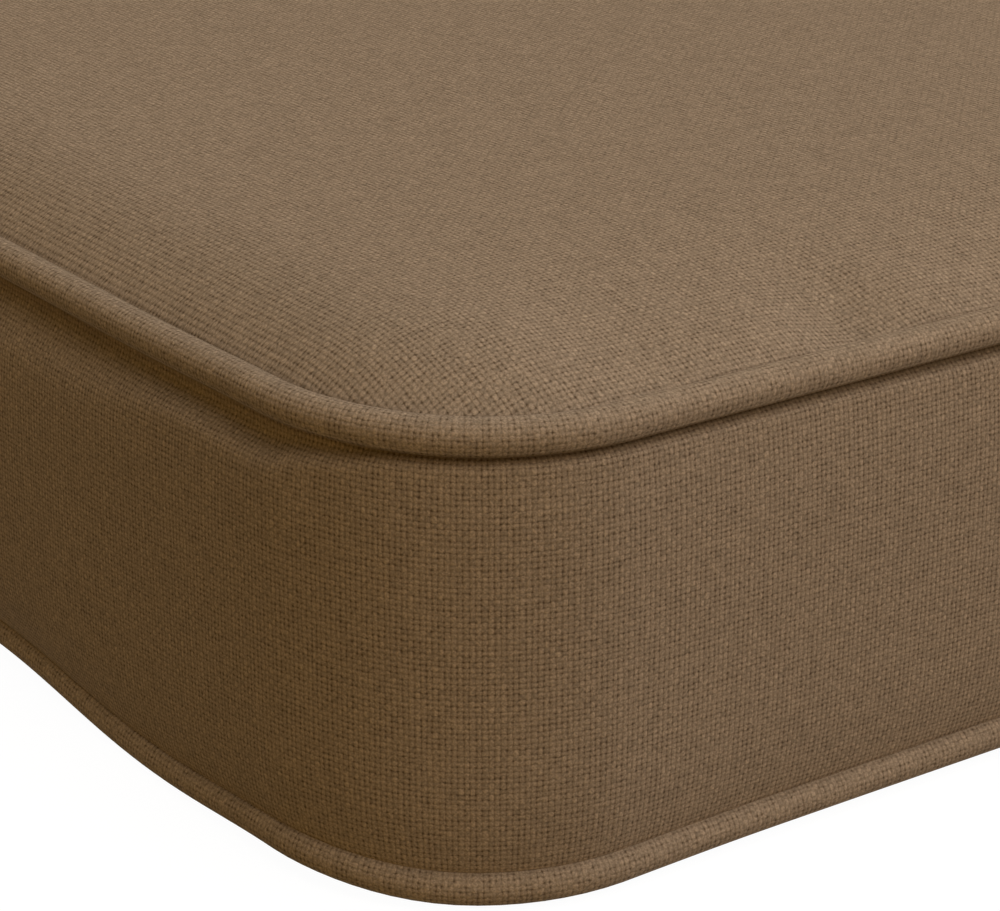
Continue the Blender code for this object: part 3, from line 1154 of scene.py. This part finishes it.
    def yarn_heights(
        self, nodes: ClothNodes, place: NodeSocket
    ) -> tuple[NodeSocket, NodeSocket]:
        """The weave's height, and where a warp yarn lies on top.

        Each yarn is a round hump across its width. Along it the crimp lifts it over one crossing and dips it
        under the next.

        Args:
            nodes: the material's nodes.
            place: the map counted in yarns.

        Returns:
            Sockets with the height, about 0 in a pore and 1.6 on a float, and with 1 on the warp and 0 on the
            weft.
        """
        cell = nodes.vector("FLOOR", place)
        within = nodes.vector("SUBTRACT", place, cell)
        half_turn = (math.pi, math.pi, 0.0)
        quarter_back = (-math.pi / 2, -math.pi / 2, 0.0)
        angle = nodes.vector("MULTIPLY_ADD", within, half_turn, quarter_back)
        hump_x, hump_y = nodes.parts(nodes.vector("COSINE", angle))
        sign_x, sign_y = nodes.parts(nodes.vector("COSINE", nodes.scaled(cell, math.pi)))
        crimp = nodes.number("MULTIPLY", nodes.number("MULTIPLY", sign_x, sign_y), self.crimp)
        warp = nodes.number("MULTIPLY_ADD", hump_y, crimp, hump_x)
        weft = nodes.number("MULTIPLY_ADD", hump_x, nodes.number("MULTIPLY", crimp, -1.0), hump_y)
        return nodes.number("MAXIMUM", warp, weft), nodes.number("GREATER_THAN", warp, weft)

    def yarn_shades(
        self, nodes: ClothNodes, place: NodeSocket, warp_over: NodeSocket,
        fibres: NodeSocket,
    ) -> NodeSocket:
        """How light each yarn is: its slow change, each float, its twist, its fibres and the weft's painted
        shade.

        Args:
            nodes: the material's nodes.
            place: the map counted in yarns.
            warp_over: 1 on the warp and 0 on the weft.
            fibres: the fibres' noise.

        Returns:
            A socket with a factor near 1.
        """
        cell = nodes.vector("FLOOR", place)
        tones = []
        for along_yarn, next_yarn in zip(self.along_yarn_steps, self.next_yarn_steps):
            slow = nodes.vector("MULTIPLY", place, along_yarn)
            tones.append(nodes.noise(nodes.vector("MULTIPLY_ADD", cell, next_yarn, slow), "3D"))
        yarn = nodes.mix("FLOAT", warp_over, tones[1], tones[0])
        turn = 2 * math.pi * self.twist_turns
        plies = [nodes.number("SINE", nodes.dot(place, (turn, slant * turn, 0.0))) for slant in (1.0, -1.0)]
        strands = nodes.mix("FLOAT", warp_over, plies[1], plies[0])
        each = add_node(nodes.tree, "ShaderNodeTexWhiteNoise", {"noise_dimensions": "2D"}, {"Vector": cell})
        factors = [
            nodes.mapped(value, low, high, darkest, lightest)
            for value, low, high, darkest, lightest in (
                (yarn, *NOISE_RANGE, 1 - self.streak, 1 + self.streak),
                (fibres, *NOISE_RANGE, 1 - self.fuzz, 1 + self.fuzz),
                (each.outputs["Value"], 0.0, 1.0, 1 - self.float_tone, 1 + self.float_tone),
                (strands, -1.0, 1.0, 1 - self.twist, 1 + self.twist),
                # painted shade on the weft's floats
                (warp_over, 0.0, 1.0, self.weft_shade, 1.0),
            )
        ]
        shade = factors[0]
        for factor in factors[1:]:
            shade = nodes.number("MULTIPLY", shade, factor)
        return shade


def towards(azimuth: float, elevation: float) -> Vector:
    """The way from the cushion to a light or the camera: 0 is in front, and 90 at the right end."""
    turn, rise = math.radians(azimuth), math.radians(elevation)
    return Vector((math.sin(turn) * math.cos(rise), -math.cos(turn) * math.cos(rise), math.sin(rise)))


@dataclass(frozen=True)
class SoftLight:
    """A soft light from one side of the studio, by where it stands and how bright it is."""

    name: str
    azimuth: float
    elevation: float
    strength: float
    colour: str
    spread: float = 60.0

    def place(self) -> None:
        """Put the light in the scene, shining at the cushion."""
        lamp = bpy.data.lights.new(self.name, "SUN")
        lamp.energy = self.strength
        lamp.angle = math.radians(self.spread)
        lamp.color = linear(self.colour)[:3]
        light = bpy.data.objects.new(self.name, lamp)
        light.rotation_euler = towards(self.azimuth, self.elevation).to_track_quat("Z", "Y").to_euler()
        bpy.context.scene.collection.objects.link(light)


@dataclass(frozen=True)
class Studio:
    """A plain pale floor, soft lights, and the camera where the photo was taken from."""

    lights: tuple[SoftLight, ...] = (
        SoftLight("overhead", 0.0, 85.0, 1.00, "fff6e8"),
        SoftLight("right_overhead", 60.0, 60.0, 0.90, "eef4ff"),
        SoftLight("front_overhead", 0.0, 60.0, 0.44, "fff4f0"),
        SoftLight("right", 90.0, 0.0, 2.14, "fef1ea"),
        SoftLight("front", 25.0, 0.0, 0.71, "fceee4"),
        SoftLight("left", -60.0, 0.0, 0.65, "ffcd62"),
        SoftLight("low_left", -35.0, -20.0, 0.08, "c7f7ff"),
        SoftLight("back", 180.0, 30.0, 0.35, "ffebc5"),
    )
    surround_colour: str = "ffe4b0"
    surround_strength: float = 0.044
    floor_side: float = 80.0
    floor_drop: float = 0.2 * MM
    floor_colour: str = "4d4d4d"
    floor_glow: float = 0.97
    camera_from: tuple[float, float, float] = (-0.8395, -0.5739, 0.2397)
    camera_azimuth: float = -35.42
    camera_elevation: float = 21.28
    lens: float = 120.65

    def build(self) -> None:
        """Set up the floor, the lights, the surroundings and the camera."""
        self.lay_floor()
        for light in self.lights:
            light.place()
        self.set_surround()
        self.set_camera()
        bpy.context.scene.view_settings.view_transform = "Standard"

    def lay_floor(self) -> None:
        """Lay a wide pale floor just under the cushion."""
        bpy.ops.object.select_all(action="DESELECT")
        bpy.ops.mesh.primitive_plane_add(size=self.floor_side, location=(0, 0, -self.floor_drop))
        floor = bpy.context.active_object
        floor.name = floor.data.name = "floor"
        paint = bpy.data.materials.new("matt_white_paint")
        paint.use_nodes = True
        shader = paint.node_tree.nodes["Principled BSDF"]
        shader.inputs["Base Color"].default_value = linear(self.floor_colour)
        shader.inputs["Roughness"].default_value = 0.9
        shader.inputs["Specular IOR Level"].default_value = 0.0
        shader.inputs["Emission Color"].default_value = WHITE
        shader.inputs["Emission Strength"].default_value = self.floor_glow
        floor.data.materials.append(paint)
        floor.visible_diffuse = False
        floor.visible_shadow = False

    def set_surround(self) -> None:
        """Fill the studio with dim warm light, and show white where no floor shows."""
        world = bpy.data.worlds.new("studio")
        bpy.context.scene.world = world
        world.use_nodes = True
        tree = world.node_tree
        tree.nodes.clear()
        rays = add_node(tree, "ShaderNodeLightPath", {}, {})
        dim = add_node(
            tree, "ShaderNodeBackground", {},
            {"Color": linear(self.surround_colour), "Strength": self.surround_strength},
        )
        white = add_node(tree, "ShaderNodeBackground", {}, {"Color": WHITE, "Strength": 1.0})
        either = add_node(
            tree, "ShaderNodeMixShader", {},
            {0: rays.outputs["Is Camera Ray"], 1: dim.outputs[0], 2: white.outputs[0]},
        )
        add_node(tree, "ShaderNodeOutputWorld", {}, {"Surface": either.outputs[0]})

    def set_camera(self) -> None:
        """Put the camera at the photo's place and angle."""
        data = bpy.data.cameras.new("camera")
        data.lens = self.lens
        data.sensor_width = 36.0
        camera = bpy.data.objects.new("camera", data)
        back = towards(self.camera_azimuth, self.camera_elevation)
        camera.location = self.camera_from
        camera.rotation_euler = back.to_track_quat("Z", "Y").to_euler()
        data.clip_start = 0.01
        data.clip_end = 200.0
        bpy.context.scene.collection.objects.link(camera)
        bpy.context.scene.camera = camera


def dress(piece: Object, node: str, material: Material) -> None:
    """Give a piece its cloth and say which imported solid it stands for.

    Args:
        piece: the finished piece.
        node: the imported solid.
        material: the cloth.
    """
    piece.data.materials.clear()
    piece.data.materials.append(material)
    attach(piece, "root")
    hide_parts(node)
    LOG.info("%s: %d faces, stands for %s", piece.name, len(piece.data.polygons), node)


def main() -> None:
    """Build the cushion's pieces and the studio."""
    logging.basicConfig(level=logging.INFO, format="%(name)s: %(message)s")
    shape = CushionShape()
    cover_cloth = PlainWeaveCloth("plain_weave_cover_cloth").material()
    piping_cloth = PlainWeaveCloth("plain_weave_piping_cloth", closed_pore=0.75).material()
    cover = CushionCover(shape).build()
    dress(cover, "cushion_body", cover_cloth)
    for name, seam, node in (
        ("top_piping", shape.top_seam, "piping_top"),
        ("bottom_piping", shape.bottom_seam, "piping_bottom"),
    ):
        dress(Piping(name, shape, seam).build(), node, piping_cloth)
    Studio().build()


if __name__ == "__main__":
    main()
